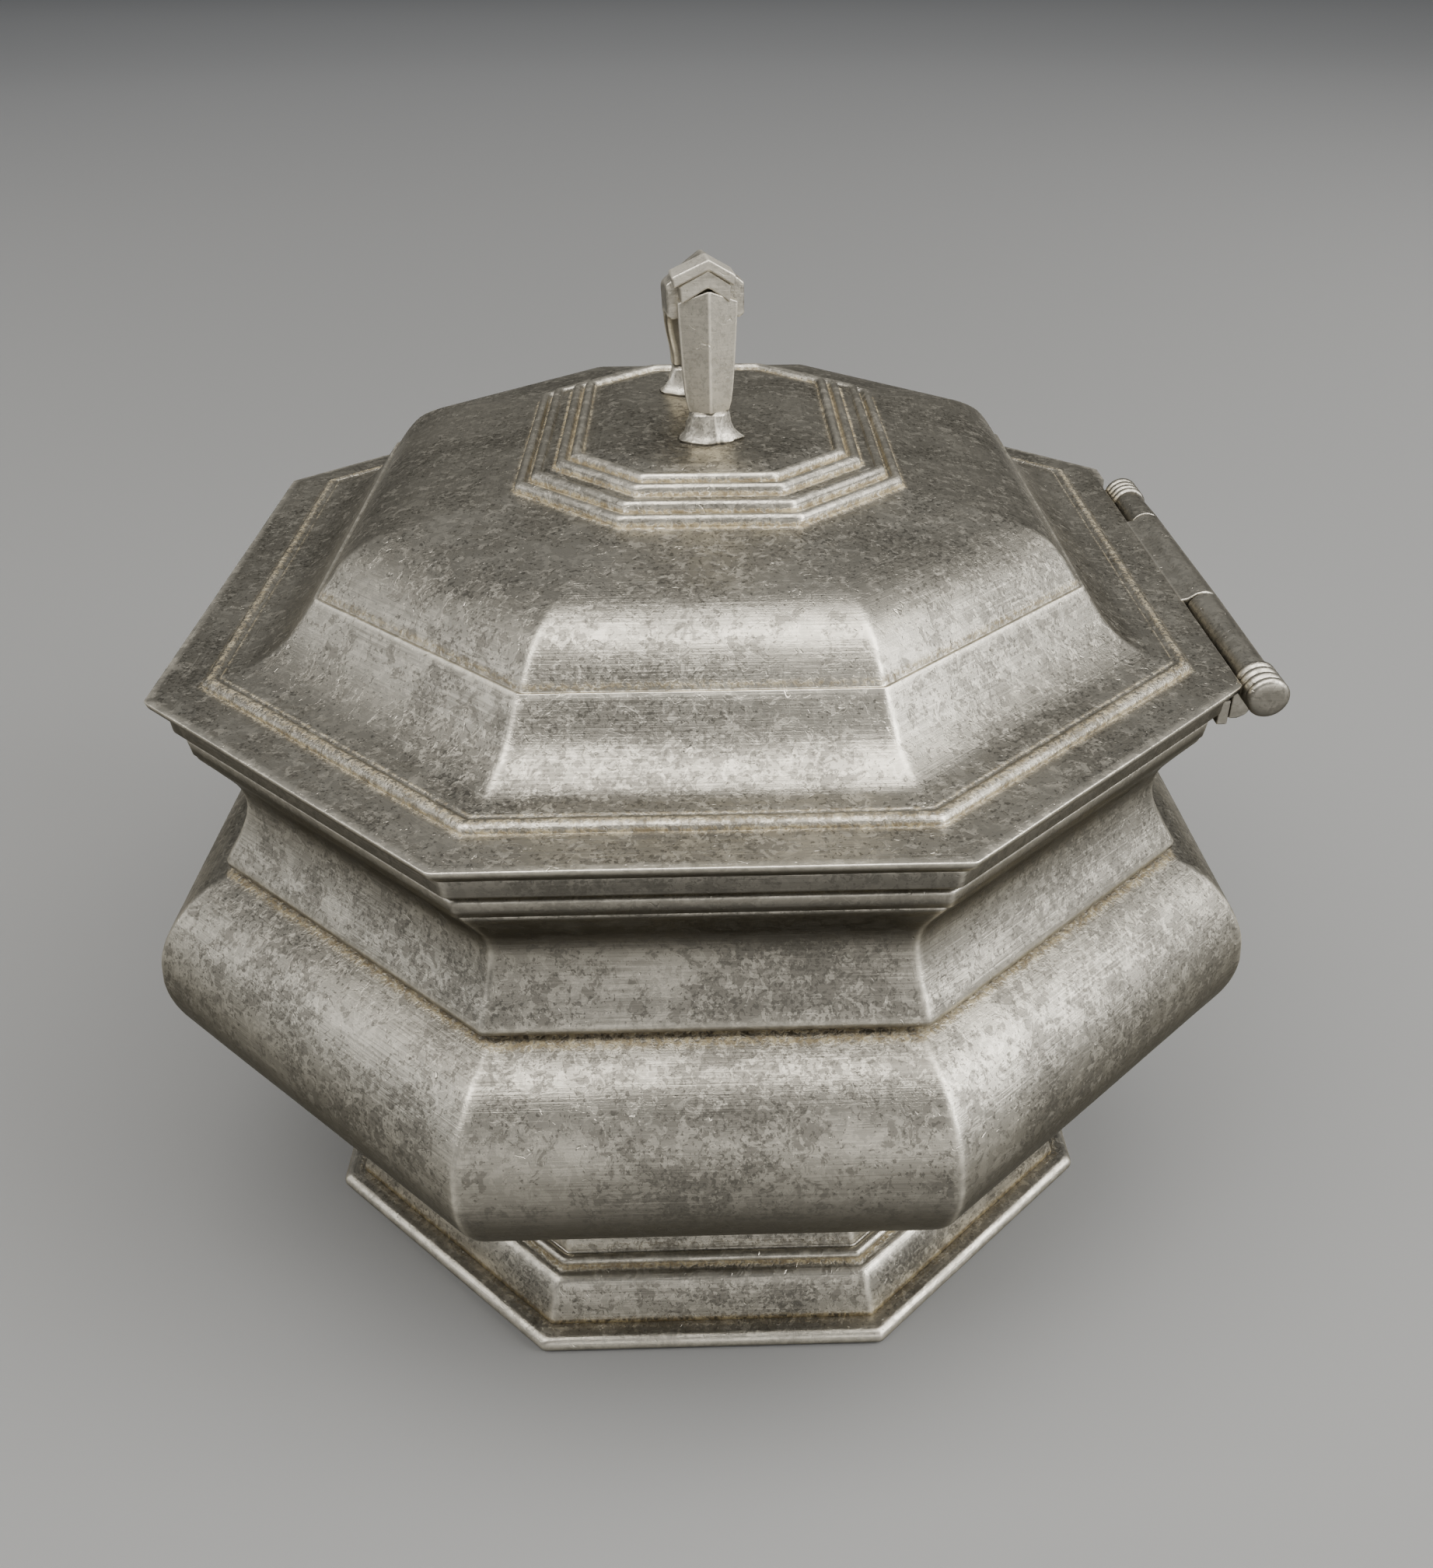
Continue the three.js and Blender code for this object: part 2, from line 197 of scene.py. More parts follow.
def octagonal(name, outline, body, nodes, material, capped=False,
              wear_and_highlight=(), grimy=(), painted_shade_spots=(), mitre=0.5, wobble=0.1, lean=0, pinch=0, trim=None):
    """A piece whose outline runs round the octagon, with its marks: wear with a painted highlight on its
    edges and mitres, residue in its grooves, and painted shade on its dark spots.

    A capped outline starts and ends near the middle, and both ends are filled in.
    """
    verts, marks = [], {"wear_and_glint": [], "grime": [], "painted_shade": [], "mitre": [], "across": []}
    run = 0
    outline = filled(outline) if capped else filled([*outline, outline[0]])[:-1]
    area = sum(p[0] * q[1] - q[0] * p[1] for p, q in zip(outline, [*outline[1:], outline[0]]))
    for i, point in enumerate(outline):
        run += math.dist(point, outline[i - 1]) if i else 0
        # The dark spots are painted shade, for where shade falls under the lid's flange, on the rim moulding
        # and on the neck.
        wear_and_glint, grime, painted_shade = near(point, wear_and_highlight), near(point, grimy), near(point, painted_shade_spots)
        drift = lean * smoothstep(point[0], LEAN_STARTS, LEAN_FULL)
        a, b = outline[max(i - 1, 0)], outline[min(i + 1, len(outline) - 1)]
        # An outline drawn clockwise climbs on its outside, so there a rising face looks outwards.
        rise = (b[1] - a[1]) / max(math.dist(a, b), 0.01) * (1 if area < 0 else -1)
        steep = smoothstep(rise, LEVEL, STEEP)
        for p, to_corner in ring(point[0], min(mitre, 0.3 * (NEAR_CENTRE - point[0])), pinch):
            verts.append(Vector((p.x + drift, p.y, point[1])))
            marks["wear_and_glint"].append(wear_and_glint)
            marks["grime"].append(grime)
            marks["painted_shade"].append(painted_shade)
            # The mitre mark is a bright line of wear and painted highlight on steep mitres.
            marks["mitre"].append(steep * math.exp(-((to_corner / MITRE_LINE) ** 2)))
            marks["across"].append(run)
    count = len(verts) // len(outline)
    faces = []
    for r in range(len(outline) - (1 if capped else 0)):
        s = (r + 1) % len(outline)
        for i in range(count):
            j = (i + 1) % count
            faces.append((r * count + i, r * count + j, s * count + j, s * count + i))
    if capped:
        for r in (0, len(outline) - 1):
            verts.append(Vector((0, 0, outline[r][1])))
            for key, values in marks.items():
                values.append(values[r * count] if key != "mitre" else 0)
            for i in range(count):
                j = (i + 1) % count
                end = (r * count + j, r * count + i) if r == 0 else (r * count + i, r * count + j)
                faces.append((len(verts) - 1, *end))
    if area > 0:
        faces = [f[::-1] for f in faces]
    # Hand work leaves the walls a little uneven: every dent goes inwards.
    for v in verts:
        out = Vector((v.x, v.y, 0)).normalized()
        broad, small = (0.5 + 0.5 * noise.noise(v / size) for size in (BROAD_DENT, SMALL_DENT))
        v -= out * (wobble * broad + 0.3 * wobble * small)
        v.z += 0.35 * wobble * noise.noise(v / SAG + Vector((5, 7, 9)))
        v.z = max(v.z, 0)
        if trim:
            trim(v)
    evened(make(name, verts, faces, body, nodes, material, marks))


# ---- Pewter -------------------------------------------------------------------------------------
# How light the metal is, from where it is rubbed bright and carries a painted highlight to where the tarnish
# is thickest or painted shade lies.
RUBBED_AND_HIGHLIT, GLEAMING, PALE, MIDDLE, DULLED, SCORED, TARNISH_AND_SHADE = 1.0, 0.75, 0.74, 0.46, 0.25, 0.2, 0.13
RESIDUE_BROWN, RESIDUE_YELLOW = (0.24, 0.185, 0.1, 1), (0.46, 0.38, 0.22, 1)
RESIDUE_DEEP = (0.06, 0.046, 0.028, 1)
REFLECTION_TINT = (0.5, 0.48, 0.43, 1)


class Graph:
    """Shortens the making of shader nodes."""

    def __init__(self, name):
        self.material = bpy.data.materials.new(name)
        self.material.use_nodes = True
        self.tree = self.material.node_tree
        self.tree.nodes.clear()

    def add(self, kind, inputs=None, **settings):
        node = self.tree.nodes.new(kind)
        for key, value in settings.items():
            setattr(node, key, value)
        for key, value in (inputs or {}).items():
            if isinstance(value, bpy.types.NodeSocket):
                self.tree.links.new(value, node.inputs[key])
            else:
                node.inputs[key].default_value = value
        return node.outputs[0] if node.outputs else node

    def mark(self, name):
        return self.add("ShaderNodeAttribute", attribute_name=name).node.outputs["Fac"]

    def noise(self, vector, scale, detail=3.0, rough=0.55, bend=0.0):
        inputs = {"Vector": vector, "Scale": scale, "Detail": detail, "Roughness": rough, "Distortion": bend}
        return self.add("ShaderNodeTexNoise", inputs)

    def maths(self, operation, a, b=0.0, c=0.0):
        return self.add("ShaderNodeMath", {0: a, 1: b, 2: c}, operation=operation)

    def span(self, value, low, high, to_low=0.0, to_high=1.0):
        """Maps low to to_low and high to to_high, smoothly, and keeps what is past them."""
        inputs = {"Value": value, "From Min": low, "From Max": high, "To Min": to_low, "To Max": to_high}
        return self.add("ShaderNodeMapRange", inputs, interpolation_type="SMOOTHSTEP")

    def mix(self, share, a, b):
        node = self.add("ShaderNodeMix", data_type="RGBA").node
        for index, value in ((0, share), (6, a), (7, b)):
            if isinstance(value, bpy.types.NodeSocket):
                self.tree.links.new(value, node.inputs[index])
            else:
                node.inputs[index].default_value = value
        return node.outputs[2]


def pewter(name, tone=1.0, mottle=1.0, rough=0.37, brushed=1.0, metallic=1.0):
    """Old pewter: mottled patina in patches, brushing along the sides, residue in the grooves, wear with a
    painted highlight on edges and mitres, and painted shade on undersides and dark spots.
    """
    g = Graph(name)
    coords = g.add("ShaderNodeTexCoord").node.outputs
    place = g.add("ShaderNodeVectorMath", {0: coords["Object"], "Scale": 1000.0}, operation="SCALE")
    apart = g.add("ShaderNodeSeparateXYZ", {0: place}).node.outputs
    facing = g.add("ShaderNodeSeparateXYZ", {0: coords["Normal"]}).node.outputs["Z"]
    across, wear_and_glint, mitre = g.mark("across"), g.mark("wear_and_glint"), g.mark("mitre")
    # The second mark here is painted shade from the outline's dark spots.
    grime, painted_shade = g.mark("grime"), g.mark("painted_shade")

    # Streaks follow the sides: they are long in plan and fine across the outline.
    plan = [g.maths("MULTIPLY", apart[i], 0.07) for i in (0, 1)]
    fine = g.maths("MULTIPLY", g.maths("ADD", across, g.maths("MULTIPLY", apart[2], 0.25)), 3.8)
    lines = g.add("ShaderNodeCombineXYZ", {0: plan[0], 1: plan[1], 2: fine})
    brush = g.noise(lines, 1.0, 4.0, 0.65)
    kept = g.span(g.noise(place, 0.08, 3.0, 0.6), 0.42, 0.62, 0.2, 1.0)
    broad = g.noise(place, 0.05, 3.0, 0.55, 0.4)
    zones = g.noise(place, 0.17, 4.0, 0.6, 0.5)
    patches = g.noise(place, 0.5, 4.5, 0.66, 0.6)
    flecks = g.noise(place, 0.8, 4.0, 0.64, 0.8)
    specks = g.noise(place, 2.2, 2.0, 0.6, 0.3)
    grain = g.noise(place, 6.0, 2.0, 0.6)

    # The patina lies thick in some places and is nearly rubbed off in others.
    level = g.maths("MULTIPLY_ADD", zones, 0.3, g.maths("MULTIPLY", broad, 0.25))
    thick = g.maths("SUBTRACT", level, 0.275)
    dull = g.span(g.maths("ADD", patches, thick), 0.49, 0.55)
    pale = g.span(g.maths("SUBTRACT", flecks, g.maths("MULTIPLY", thick, 0.5)), 0.52, 0.57)
    dotted = g.span(g.maths("MULTIPLY_ADD", thick, 1.2, specks), 0.575, 0.625)

    def grey(light):
        """A warm grey, so light for plain pewter, and lighter or darker by the piece's tone."""
        red = min(1, light * tone)
        return (red, red * 0.94, red * 0.8, 1)

    colour = g.mix(g.span(broad, 0.35, 0.65), grey(MIDDLE * 1.15), grey(MIDDLE * 0.85))
    colour = g.mix(g.maths("MULTIPLY", dull, 0.74 * mottle), colour, grey(DULLED))
    colour = g.mix(g.maths("MULTIPLY", pale, 0.6 * mottle), colour, grey(PALE))
    colour = g.mix(g.maths("MULTIPLY", dotted, 0.7 * mottle), colour, grey(TARNISH_AND_SHADE))
    scored = g.maths("MULTIPLY", g.span(brush, 0.42, 0.66, 0.0, 0.5 * brushed), kept)
    colour = g.mix(scored, colour, grey(SCORED))
    gleam = g.maths("MULTIPLY", g.span(brush, 0.46, 0.3, 0.0, 0.45 * brushed), kept)
    colour = g.mix(gleam, colour, grey(GLEAMING))

    # Painted shade: faces turned sideways or down are darkened by their facing, and so are the dark spots.
    painted_underside_shade = g.maths("MAXIMUM", g.span(facing, 0.45, -0.35, 0.0, 0.92), painted_shade)
    colour = g.mix(painted_underside_shade, colour, grey(TARNISH_AND_SHADE))

    # Bright metal on the edges, beads and mitres: wear from handling, and painted highlight where these catch
    # the light.
    nicked = g.span(flecks, 0.35, 0.6, 0.7, 1.0)
    mitre_wear_and_highlight = g.maths("MULTIPLY", mitre, g.span(zones, 0.35, 0.65, 1.0, 0.45))
    mitre_wear_and_highlight = g.maths("MULTIPLY", mitre_wear_and_highlight, g.span(painted_underside_shade, 0.0, 0.82, 1.0, 0.45))
    wear_and_highlight = g.maths("MULTIPLY", g.maths("MAXIMUM", wear_and_glint, mitre_wear_and_highlight), nicked)
    colour = g.mix(wear_and_highlight, colour, grey(RUBBED_AND_HIGHLIT / tone))

    # Residue left in the grooves: yellow, and dark brown where it is deepest.
    soiled = g.span(g.maths("MULTIPLY", grime, g.span(specks, 0.3, 0.6, 0.35, 1.0)), 0.12, 0.65)
    tint = g.mix(g.span(flecks, 0.4, 0.6), RESIDUE_BROWN, RESIDUE_YELLOW)
    tint = g.mix(g.span(grime, 0.78, 0.98), tint, RESIDUE_DEEP)
    colour = g.mix(g.maths("MULTIPLY", soiled, 0.85), colour, tint)

    # Dull patches, scratches and residue are rougher, and residue isn't metal.
    gloss = g.maths("MULTIPLY_ADD", dull, 0.1 * mottle, rough - 0.04)
    gloss = g.maths("MULTIPLY_ADD", scored, 0.2, gloss)
    gloss = g.maths("MULTIPLY_ADD", soiled, 0.3, gloss)
    metal = g.span(soiled, 0.2, 0.9, metallic, 0.35)

    # Fine relief: grain, brushing, eaten patches, pits and crumbs of residue.
    pits = g.span(g.noise(place, 0.9, 2.0, 0.5, 1.2), 0.68, 0.76)
    height = g.maths("MULTIPLY_ADD", grain, 0.4, g.maths("MULTIPLY", brush, 0.9 * brushed))
    height = g.maths("MULTIPLY_ADD", dull, -0.25 * mottle, height)
    height = g.maths("MULTIPLY_ADD", pits, -1.2, height)
    height = g.maths("MULTIPLY_ADD", soiled, g.maths("MULTIPLY", specks, 1.8), height)
    bump = g.add("ShaderNodeBump", {"Strength": 0.6, "Distance": 0.00007, "Height": height})
    shader = g.add("ShaderNodeBsdfPrincipled", {
        "Base Color": colour, "Metallic": metal, "Roughness": gloss, "Normal": bump,
        "Specular Tint": REFLECTION_TINT})
    g.add("ShaderNodeOutputMaterial", {"Surface": shader})
    return g.material


BODY = pewter("body_pewter")
LID = pewter("lid_pewter")
# The loop's strap and lip are made lighter and less metallic than the body: painted highlight, for the light
# they catch.
FINIAL = pewter("finial_pewter", tone=2.1, mottle=0.6, rough=0.36, brushed=1.0, metallic=0.65)
HOOD = pewter("hood_pewter", tone=1.3, mottle=0.8, rough=0.36, brushed=1.0, metallic=0.85)
SOLDER = pewter("solder", tone=1.5, mottle=0.8, rough=0.36, brushed=0.0, metallic=0.7)
HINGE = pewter("hinge_pewter", tone=1.15, mottle=0.6, brushed=0.5)


# ---- Foot ---------------------------------------------------------------------------------------
wire = [(13.6, 0), (11.0, 0), *arc((10.6, 1.2), (1.2, 1.2), 250, 95, 12), (13.6, 2.35)]
octagonal("foot_bead", wire, "base", ["foot_wire"], BODY,
          wear_and_highlight=[(9.6, 1.6, 1.0, 0.75)], grimy=[(12, 2.4, 0.5, 0.9)], wobble=0.05)

slope = spline([(12.1, 2.4), (12.5, 3.6), (13.3, 5.8), (14.2, 7.5)])
ledge = eased([(14.2, 7.5), (14.9, 8.05), (16.2, 8.2)], 0.4)
bead = [(d, z) for d, z in arc((16.9, 8.8), (0.75, 0.65), 200, 30, 7)]
stem = spline([(17.6, 9.5), (18.3, 11.4), (19.2, 15.2), (19.5, 20.5), (19.2, 26.5)])
under = spline([(21, 26.5), (21.2, 19), (19.8, 11), (17.8, 7), (15.9, 6.3), (13.6, 2.4)], 2)
octagonal("foot_body", [*slope, *ledge[1:], *bead, *stem, *under], "base", ["foot"], BODY,
          wear_and_highlight=[(14.8, 7.9, 0.8, 0.7), (16.7, 9.4, 0.7, 0.6)],
          grimy=[(12.1, 2.5, 0.6, 0.85), (16.2, 8.3, 0.6, 0.8), (17.9, 10.0, 0.8, 0.35)])

# ---- Bowl ---------------------------------------------------------------------------------------
upper = [(6.5, 59), (5.6, 58.2), (3.4, 57.4), (0.8, 56.1), (-1.4, 54.2), (-3.6, 51.2), (-4.9, 48),
         (-5.3, 44.6)]
outside = [*spline(upper), *arc((19, 44.6), (24.3, 18.1), 180, 270, 34)[1:]]
upper = [(7.3, 59), (4.6, 56.8), (2, 55), (-0.5, 52.6), (-2.3, 49.6), (-3.2, 47), (-3.5, 44.6)]
inside = [*spline(upper, 1.6), *arc((19, 44.6), (22.5, 16.3), 180, 270, 18)[1:]]
octagonal("bowl_wall", [*outside[::-1], *inside], "base", ["bowl"], BODY, capped=True,
          grimy=[(5.7, 58.5, 0.9, 1.0), (4.4, 57.8, 1.0, 0.62)], wobble=0.16, mitre=0.45, pinch=1.2)

neck = [(4.25, 59.8), (4.8, 60.8), (6.2, 63.0), (7.3, 65.5), (7.6, 67.4), (7.2, 69.4), (5.9, 71.5),
        (3.8, 74.4)]
outside = [(5.9, 58.8), (4.8, 58.85), (4.3, 59.15), *spline(neck), (3.5, 75.2)]
inside = spline([(5.9, 75.2), (7.8, 72.3), (9.1, 69.8), (9.4, 67.4), (9, 64.8), (7.5, 59)], 1.6)
octagonal("collar_wall", [*outside, *inside], "base", ["collar"], BODY,
          # The dark spot on the neck is painted shade.
          wear_and_highlight=[(4.25, 59.6, 0.5, 0.6)], grimy=[(5.3, 58.8, 0.7, 1.0)], painted_shade_spots=[(7, 67, 4, 0.35)],
          mitre=0.45, pinch=0.5)

moulding = eased([(3.4, 75.2), (3.1, 77.2), (4.1, 77.6), (4.1, 78), (2.1, 78.4), (1.9, RIM_TOP),
                  (10.2, RIM_TOP), (10.2, 79), (6.2, 75.2)], 0.3)
octagonal("rim_moulding", moulding, "base", ["rim_frame"], BODY,
          # The dark spot under the lid's flange is painted shade.
          wear_and_highlight=[(3.1, 77.1, 0.4, 0.4)], grimy=[(4.1, 77.8, 0.6, 0.95)], painted_shade_spots=[(2.4, 79, 2.6, 0.85)],
          wobble=0.06)


# ---- Lid ----------------------------------------------------------------------------------------
def notch(v):
    """The flange is cut back straight along the hinge."""
    if -HINGE_FRONT - 0.5 < v.y < HINGE_BACK + 0.5:
        v.x = min(v.x, NOTCH_X)


# The crown's four beads: their insets, and the heights of the ground between them.
RIDGES = (40.1, 42, 44.8, 46.5)
GROUND = (100.3, 101.1, 102.1, 102.9, 103.3)
flange = eased([(13, 81), (1.3, 81), (0.25, 82.1), (0, 82.95), (5.75, 83.15)], 0.2)
flange_bead = arc((6.75, 83.25), (0.95, 0.85), 185, 40, 9)
cove = spline([(7.8, 83.95), (11.2, 84.6), (14.8, 87), (18, 91.3)], 0.35)
ledge = eased([(18, 91.3), (18.1, 91.5), (18.5, 91.4), (18.75, 91.9)], 0.12)
dome = spline([(18.75, 91.9), (20.2, 93.9), (22, 95.8), (24.3, 97.1), (27, 98), (33, 99.1), (39, 100.1)], 0.8)
panel = []
for at, low, high in zip(RIDGES, GROUND, GROUND[1:]):
    panel.append((at - 0.75, low))
    panel += arc((at, (low + high) / 2 - 0.05), (0.7, 0.78), 165, 20, 6)
    panel.append((at + 0.72, high - 0.15))
panel += [(48.5, 103.5), (50, PANEL_TOP)]
lining = [(50, 102), (39.5, 98.3), (27.2, 96.1), (24.9, 95.2), (22.8, 93), (20.6, 90), (16.6, 85.4),
          (13.9, 82.8)]
outline = [*flange, *flange_bead, *cove, *ledge[1:], *dome[1:], *panel]
bead_tops = [(at, z + 0.8, 0.45, 0.7) for at, z in zip(RIDGES, GROUND)]
bead_feet = [(at - 0.75, z, 0.45, 0.9) for at, z in zip(RIDGES, GROUND)]
octagonal("lid_dome", [*outline[::-1], *lining[::-1]], "lid", ["lid_shell"], LID,
          # The worn spots on the flange's edge, the crease and the bead tops are wear and painted highlight.
          capped=True, wear_and_highlight=[(0, 83, 0.4, 1.0), (18, 91.4, 0.35, 1.0), *bead_tops],
          grimy=[(5.9, 83.3, 0.45, 0.6), (6.7, 84.0, 0.7, 0.5), (7.8, 83.95, 0.35, 0.45),
                 (18.7, 91.9, 0.7, 0.45), *bead_feet, (47.2, 103.2, 0.4, 0.5)],
          # The dark spot under the flange's edge is painted shade.
          painted_shade_spots=[(0.8, 81.6, 0.9, 0.9)], wobble=0.12, mitre=0.45, lean=DOME_LEAN, trim=notch)

strip = eased([(10.9, 77.2), (10.9, 81), (12.4, 81), (12.4, 77.2), (10.9, 77.2)], 0.2)[1:]
octagonal("bezel_strip", strip, "lid", ["lid_bezel"], LID, wobble=0.03)


# ---- Finial -------------------------------------------------------------------------------------
def wrapped(name, rings, body, nodes, material, bevel=0.0):
    """A closed piece from rings of points, with both ends filled and its long edges marked bright, as wear
    and painted highlight.
    """
    count = len(rings[0])
    middle = [Vector(p) for p in rings[len(rings) // 2]]
    sharp = {i for i in range(count)
             if (middle[i] - middle[i - 1]).angle(middle[(i + 1) % count] - middle[i], 0) > EDGE_ANGLE}
    # A sharp edge gets a point on each side of it, which keeps its bright mark of wear and painted highlight
    # narrow.
    reach = max(0.25, 1.7 * bevel)
    verts, wear_and_glint = [], []
    for points in rings:
        points = [Vector(p) for p in points]
        for i, b in enumerate(points):
            sides = [points[i - 1] - b, points[(i + 1) % count] - b]
            beside = [b + side.normalized() * min(reach, 0.35 * side.length) for side in sides]
            verts += [beside[0], b, beside[1]] if i in sharp else [b]
            wear_and_glint += [0, EDGE_WEAR_AND_HIGHLIGHT, 0] if i in sharp else [0]
    count = len(verts) // len(rings)
    faces = []
    for r in range(len(rings) - 1):
        for i in range(count):
            j = (i + 1) % count
            faces.append((r * count + i, r * count + j, (r + 1) * count + j, (r + 1) * count + i))
    faces.append(tuple(range(count))[::-1])
    faces.append(tuple(len(verts) - count + i for i in range(count)))
    volume = sum(verts[f[0]].dot(verts[f[i]].cross(verts[f[i + 1]]))
                 for f in faces for i in range(1, len(f) - 1))
    if volume < 0:
        faces = [f[::-1] for f in faces]
    marks = {"wear_and_glint": wear_and_glint, "across": [v.z for v in verts]}
    piece = make(name, verts, faces, body, nodes, material, marks)
    if bevel:
        edges = piece.modifiers.new("edges", "BEVEL")
        edges.width = bevel * MM
        edges.segments = 3
        edges.angle_limit = BEVEL_ANGLE
        # Where two rounded edges meet, points that fall together are joined.
        piece.modifiers.new("joined", "WELD").merge_threshold = 0.003 * MM
    evened(piece)


def turned_loop(rings):
    """The loop's rings, turned a little from square and set off centre."""
    c, n = math.cos(FINIAL_TURN), math.sin(FINIAL_TURN)
    return [[(FINIAL_X + x * c - y * n, x * n + y * c, z) for x, y, z in ring] for ring in rings]


def strap_section(half, back, edge, ridge):
    """Half its width, and how far its back, edges and ridge stand out, as [across, out] points."""
    flat, raised = half - 0.5, back + 0.4
    between = (edge + ridge) / 2
    return [(-flat, back), (0, back), (flat, back), (half, raised), (half, edge), (half / 2, between),
            (0, ridge), (-half / 2, between), (-half, edge), (-half, raised)]


# The front leg widens upwards, and its top is cut to a low peak that fits under the hood.
rings = []
for i in range(13):
    rise = i / 12
    half = 2.35 + 1.1 * math.sqrt(rise)
    points = []
    for x, n in strap_section(half, -1.1, 0.6, 1.9):
        top = LEG_TOP + LEG_PEAK * (1 - abs(x) / LEG_HALF_TOP)
        points.append((x, -FINIAL_Y - n, LEG_BOTTOM - LEG_SUNK + (top - LEG_BOTTOM + LEG_SUNK) * rise))
    rings.append(points)
wrapped("finial_strap", turned_loop(rings), "lid", ["finial_leg"], FINIAL, bevel=0.16)

# The hood runs back and down, and thins into the back leg.
HOOD_SECTION, BEND_SECTION, LEG_SECTION = (4.5, -3.4, 0.5, 3.7), (3.5, -1.2, 0.7, 1.4), (2.35, -1.2, 0.7, 1.4)
path = spline([(-8.1, 120.9), (-4, 120.6), (0, 119.1), (4, 116.7), (7.2, 113.6), (9, 110.6),
               (FINIAL_Y, LEG_BOTTOM)], 0.8)
rings = []
for i, (y, z) in enumerate(path):
    share = i / (len(path) - 1)
    a, b = Vector(path[max(i - 1, 0)]), Vector(path[min(i + 1, len(path) - 1)])
    run = (b - a).normalized()
    thin, narrow = smoothstep(share, 0.2, 0.7), smoothstep(share, 0.65, 1)
    sizes = [hood + (bend + (leg - bend) * narrow - hood) * thin
             for hood, bend, leg in zip(HOOD_SECTION, BEND_SECTION, LEG_SECTION)]
    rings.append([(x, y - run.y * n, z + run.x * n) for x, n in strap_section(*sizes)])
wrapped("finial_arch", turned_loop(rings), "lid", ["finial_hood"], HOOD, bevel=0.35)


def gable(left, right, eaves, top, thick, y):
    """A roof-shaped section with its ridge at x 0, thick from its top to its underside."""
    upper = [(-left, eaves), (0, top), (right, eaves)]
    return [(x, y, z) for x, z in [*upper, *[(x * 0.94, z - thick) for x, z in upper[::-1]]]]


# The hood's front end has a lip, with a step under it.
for name, sizes, ends in (("finial_lip", (4.2, 3.1, 122.95, 124.75, 1.25), (-11.45, -7.6)),
                          ("finial_lip_step", (3.3, 2.6, 121.8, 123.5, 2.0), (-10.9, -7.8))):
    wrapped(name, turned_loop([gable(*sizes, y) for y in ends]), "lid", ["finial_hood"],
            FINIAL, bevel=0.22)

# Each leg stands in an uneven mass of solder: [height, half width, half depth] tiers.
TIERS = [(0, 4.1, 3), (0.25, 4.05, 2.95), (0.6, 3.6, 2.6), (1.2, 3.1, 2.25), (2.0, 2.8, 2.0),
         (2.9, 2.6, 1.85), (3.5, 2.4, 1.7)]
SOLDER_POINTS = 28
for side, name, node in ((-1, "finial_base_front", "finial_foot_front"),
                         (1, "finial_base_back", "finial_foot_back")):
    rings = []
    for h, w, d in TIERS:
        points = []
        for i in range(SOLDER_POINTS):
            t = 2 * math.pi * i / SOLDER_POINTS
            c, n = math.cos(t), math.sin(t)
            lump = 0.93 + 0.14 * noise.noise(Vector((2.2 * c, 2.2 * n + 9 * side, 0.9 * h)))
            points.append((w * lump * c, side * FINIAL_Y + d * lump * n, PANEL_TOP + h))
        rings.append(points)
    wrapped(name, turned_loop(rings), "lid", [node], SOLDER)


# ---- Hinge --------------------------------------------------------------------------------------
KNUCKLE_POINTS = 40


def turned(name, profile, body, nodes):
    """A knuckle turned on the hinge's axis, from [radius, y] points."""
    rings = []
    for r, y in profile:
        turns = [2 * math.pi * i / KNUCKLE_POINTS for i in range(KNUCKLE_POINTS)]
        rings.append([(HINGE_X + r * math.cos(t), y, HINGE_Z + r * math.sin(t)) for t in turns])
    wrapped(name, rings, body, nodes, HINGE)


def leaf(name, outline, ends, body, nodes):
    """A plate of the hinge, from an [x, z] outline drawn from one end along Y to the other."""
    rings = [[(x, y, z) for x, z in outline] for y in ends]
    wrapped(name, rings, body, nodes, HINGE, bevel=0.25)


for side, length, name, node in ((-1, HINGE_FRONT, "knuckle_front", "hinge_knuckle_front"),
                                 (1, HINGE_BACK, "knuckle_back", "hinge_knuckle_back")):
    first = LID_KNUCKLE_HALF + KNUCKLE_GAP
    profile = [(BORE, first), (GROOVE, first), (BARREL, first + 0.2)]
    for i in range(RINGS):
        y = length - RING_PITCH * (RINGS - i)
        profile += [(GROOVE, y), (BARREL, y + 0.12), (TURNED_RING, y + 0.4), (TURNED_RING, y + 0.8),
                    (BARREL, y + 1.1)]
    profile += [(GROOVE, length - 0.1), (1.8, length), (BORE, length)]
    turned(name, [(r, side * y) for r, y in profile], "base", [node])
    outline = [(61.6, 76.6), (61.6, 80.4), (62.6, 80.6), (64.2, 80.3), (64.3, 78.4), (63.6, 77.1),
               (62.6, 76.6)]
    leaf(name + "_web", outline, sorted((side * first, side * (length - 5.2))), "base", [node])

half = LID_KNUCKLE_HALF
turned("knuckle_lid", [(BORE, -half), (1.9, -half), (BARREL, 0.3 - half), (BARREL, half - 0.3),
                       (1.9, half), (BORE, half)], "lid", ["hinge_knuckle_lid"])
outline = [(60.6, 81.0), (60.6, 83.05), (61.6, 83.25), (62.6, 83.95), (63.6, 84.15), (63.6, 81.0)]
leaf("knuckle_lid_leaf", outline, (-half, half), "lid", ["hinge_knuckle_lid"])
outline = [(60.2, 75.9), (60.2, 79.2), (61.5, 79.2), (61.5, 75.9)]
leaf("hinge_leaf", outline, (5 - HINGE_FRONT, HINGE_BACK - 5), "base", ["hinge_plate"])

# The pin keeps its CAD mesh, and gets the hinge's pewter.
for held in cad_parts["hinge_pin"].material_slots:
    held.link = "OBJECT"
    held.material = HINGE

